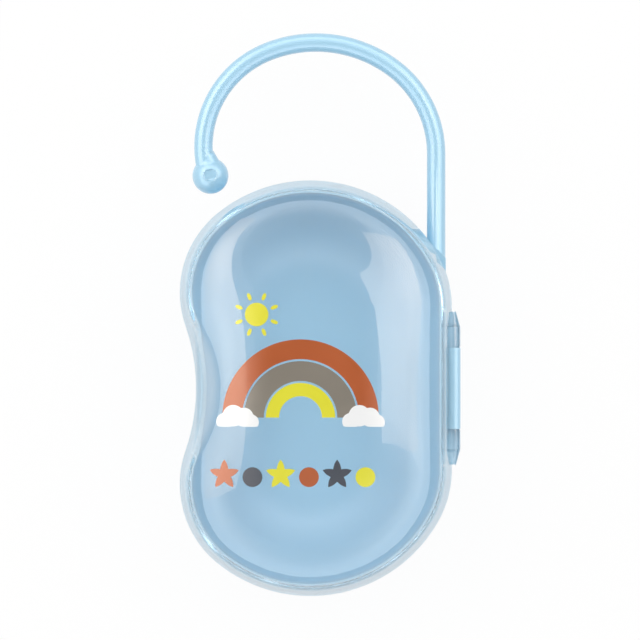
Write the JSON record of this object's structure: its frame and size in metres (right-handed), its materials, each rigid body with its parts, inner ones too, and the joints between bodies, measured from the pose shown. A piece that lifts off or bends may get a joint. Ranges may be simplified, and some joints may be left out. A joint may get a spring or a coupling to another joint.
{
  "type": "soother carrying case",
  "caption": "Bean-shaped double soother case: a moulded tray with a C-shaped carry hook, and a clear domed lid that swings on a side hinge.",
  "frame": {"origin": "middle of the tray's flat resting face", "axes": "+Z out through the domed lid, +Y towards the carry hook, +X towards the hinge; the waist is on -X"},
  "size_m": [0.0743, 0.1492, 0.048],
  "materials": {
    "shell_plastic": "glossy",
    "hook_plastic": "glossy",
    "lid_plastic": "glossy clear"
  },
  "bodies": {
    "case_shell": {"rear_shell": "shell_plastic", "carry_hook": "hook_plastic"},
    "case_lid": {"clear_lid": "lid_plastic", "lid_hinge": "lid_plastic"}
  },
  "joints": [
    {"name": "lid_swing", "type": "hinge", "parent": "case_shell", "child": "case_lid", "pos_m": [0.0364, 0, 0.026], "axis": [0, 1, 0], "range_deg": [0, 120]}
  ]
}
